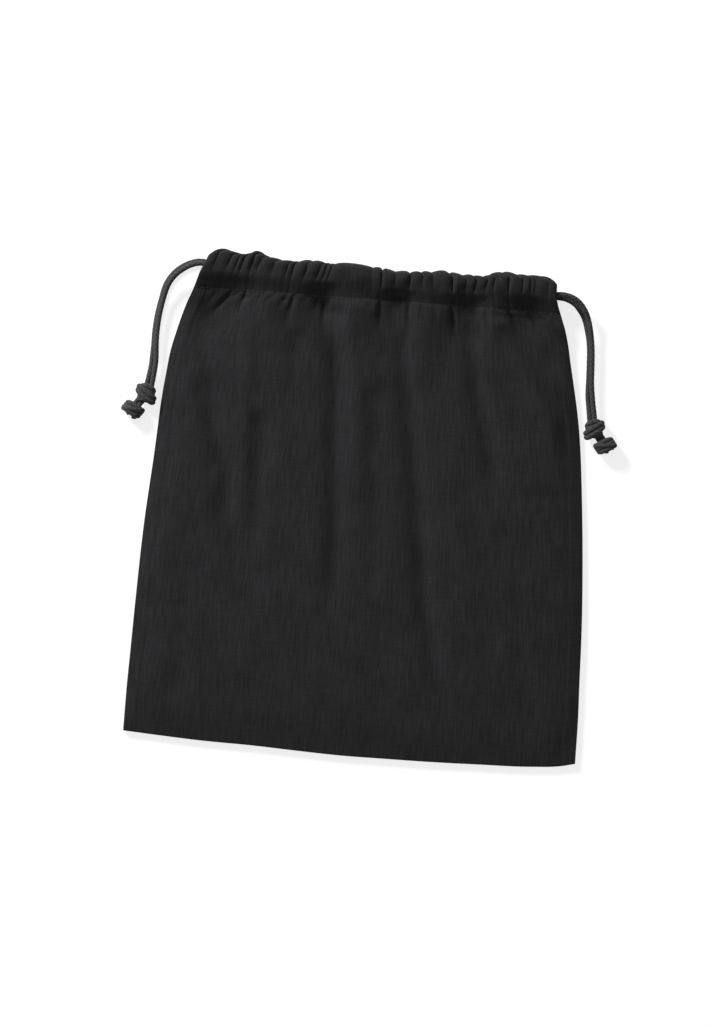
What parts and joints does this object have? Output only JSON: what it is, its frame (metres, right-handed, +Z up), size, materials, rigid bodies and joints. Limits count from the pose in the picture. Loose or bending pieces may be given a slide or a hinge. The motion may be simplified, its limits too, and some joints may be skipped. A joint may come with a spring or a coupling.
{
  "type": "fabric gift sack",
  "caption": "Flat black cotton drawstring sack with a gathered mouth, drawn shut by cords that leave both upper corners and end in overhand knots.",
  "frame": {"origin": "under the middle of the sack, on the surface that its back panel lies on", "axes": "+Z up out of the front panel, +Y from the bottom seam to the mouth, +X to the right seen from the front"},
  "size_m": [0.3074, 0.302, 0.014],
  "materials": {
    "cotton_cloth": "plain-woven slub cotton, matt",
    "sewing_thread": "spun polyester sewing thread, slight sheen",
    "cotton_cord": "braided cotton cord, matt"
  },
  "bodies": {
    "sack": {"front_panel": "cotton_cloth", "back_panel": "cotton_cloth", "left_side_seam": "sewing_thread", "right_side_seam": "sewing_thread", "bottom_seam": "sewing_thread", "front_casing_stitch": "sewing_thread", "back_casing_stitch": "sewing_thread"},
    "left_cord": {"left_cord_loop": "cotton_cord"},
    "left_tail": {"left_upper_strand": "cotton_cord", "left_lower_strand": "cotton_cord", "left_main_knot": "cotton_cord", "left_end_knot": "cotton_cord"},
    "right_cord": {"right_cord_loop": "cotton_cord"},
    "right_tail": {"right_upper_strand": "cotton_cord", "right_lower_strand": "cotton_cord", "right_main_knot": "cotton_cord", "right_end_knot": "cotton_cord"}
  },
  "joints": [
    {"name": "left_cord_pull", "type": "slide", "parent": "sack", "child": "left_cord", "axis": [-1, 0, 0], "range_m": [0, 0.003]},
    {"name": "left_tail_swing", "type": "hinge", "parent": "left_cord", "child": "left_tail", "pos_m": [-0.1099, 0.1468, 0.007], "axis": [0, 0, -1], "range_deg": [0, 75]},
    {"name": "right_cord_pull", "type": "slide", "parent": "sack", "child": "right_cord", "axis": [1, 0, 0], "range_m": [0, 0.003]},
    {"name": "right_tail_swing", "type": "hinge", "parent": "right_cord", "child": "right_tail", "pos_m": [0.1099, 0.1425, 0.007], "axis": [0, 0, 1], "range_deg": [0, 75]}
  ]
}
